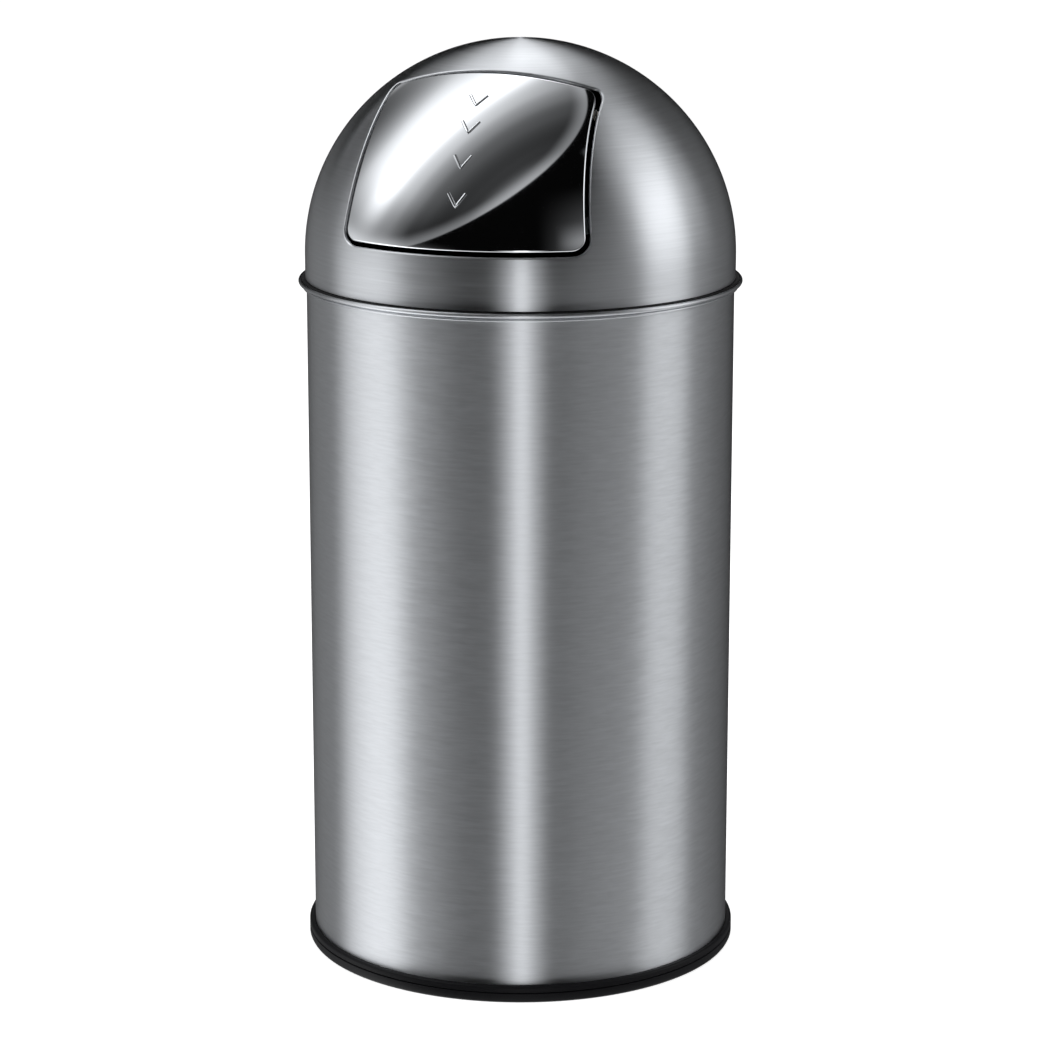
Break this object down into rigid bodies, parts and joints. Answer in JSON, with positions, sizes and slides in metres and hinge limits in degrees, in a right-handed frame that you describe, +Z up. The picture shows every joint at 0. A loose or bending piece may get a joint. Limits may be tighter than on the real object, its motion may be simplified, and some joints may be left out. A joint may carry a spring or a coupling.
{
  "type": "dome top waste receptacle",
  "caption": "Cylindrical floor bin with a domed lift-off lid, a sprung push flap that swings inwards, a black foot ring and a lift-out bucket with a bail inside.",
  "frame": {"origin": "middle of the foot ring's underside, on the floor", "axes": "+Z up along the bin's axis; the push flap faces -Y; +X is to the right of someone facing the flap"},
  "size_m": [0.355, 0.355, 0.74],
  "materials": {
    "brushed_body": "stainless sheet, fine horizontal grain",
    "brushed_dome": "spun stainless, grain in rings round the top",
    "polished_flap": "mirror polished stainless",
    "black_ring": "satin moulded polypropylene",
    "black_collar": "satin moulded polypropylene",
    "zinc_sheet": "zinc plated pressed sheet",
    "rod_steel": "bright drawn rod",
    "spring_steel": "drawn spring wire",
    "nylon": "natural nylon",
    "buffer_rubber": "moulded rubber",
    "galvanised_bucket": "galvanised sheet with a faint spangle",
    "rivet": "plain aluminium",
    "bail_steel": "galvanised wire",
    "grip_plastic": "satin moulded tube"
  },
  "bodies": {
    "body": {"body_shell": "brushed_body", "base_ring": "black_ring", "base_plate": "zinc_sheet"},
    "lid": {"dome_shell": "brushed_dome", "lid_collar": "black_collar", "hinge_bracket_right": "zinc_sheet", "hinge_bracket_left": "zinc_sheet", "hinge_rod": "rod_steel", "rod_clip_right": "spring_steel", "rod_clip_left": "spring_steel", "spacer_bush_right": "nylon", "spacer_bush_left": "nylon", "return_spring_right": "spring_steel", "return_spring_left": "spring_steel"},
    "flap": {"flap_panel": "polished_flap", "flap_ear_right": "zinc_sheet", "flap_ear_left": "zinc_sheet", "stop_tab_right": "zinc_sheet", "stop_tab_left": "zinc_sheet", "stop_buffer_right": "buffer_rubber", "stop_buffer_left": "buffer_rubber"},
    "bucket": {"liner_wall": "galvanised_bucket", "liner_base": "galvanised_bucket", "liner_ear_right": "galvanised_bucket", "liner_ear_left": "galvanised_bucket", "ear_rivet_front_right": "rivet", "ear_rivet_front_left": "rivet", "ear_rivet_back_right": "rivet", "ear_rivet_back_left": "rivet"},
    "bail": {"bail_wire": "bail_steel", "bail_grip": "grip_plastic"}
  },
  "joints": [
    {"name": "lid_lift", "type": "slide", "parent": "body", "child": "lid", "axis": [0, 0, 1], "range_m": [0, 1.1]},
    {"name": "flap_swing", "type": "hinge", "parent": "lid", "child": "flap", "pos_m": [0, -0.06, 0.688], "axis": [1, 0, 0], "range_deg": [0, 60], "stiffness_Nm_per_rad": 0.15, "springref_deg": -137.51, "deforming": ["return_spring_right", "return_spring_left"]},
    {"name": "liner_lift", "type": "slide", "parent": "body", "child": "bucket", "axis": [0, 0, 1], "range_m": [0, 0.56]},
    {"name": "bail_swing", "type": "hinge", "parent": "bucket", "child": "bail", "pos_m": [0, 0, 0.5198], "axis": [1, 0, 0], "range_deg": [0, 90]}
  ],
  "couplings": [
    {"joint": "liner_lift", "follows": "lid_lift", "ratio": 0.5},
    {"joint": "bail_swing", "follows": "lid_lift", "rad_per_m": 1.42}
  ]
}
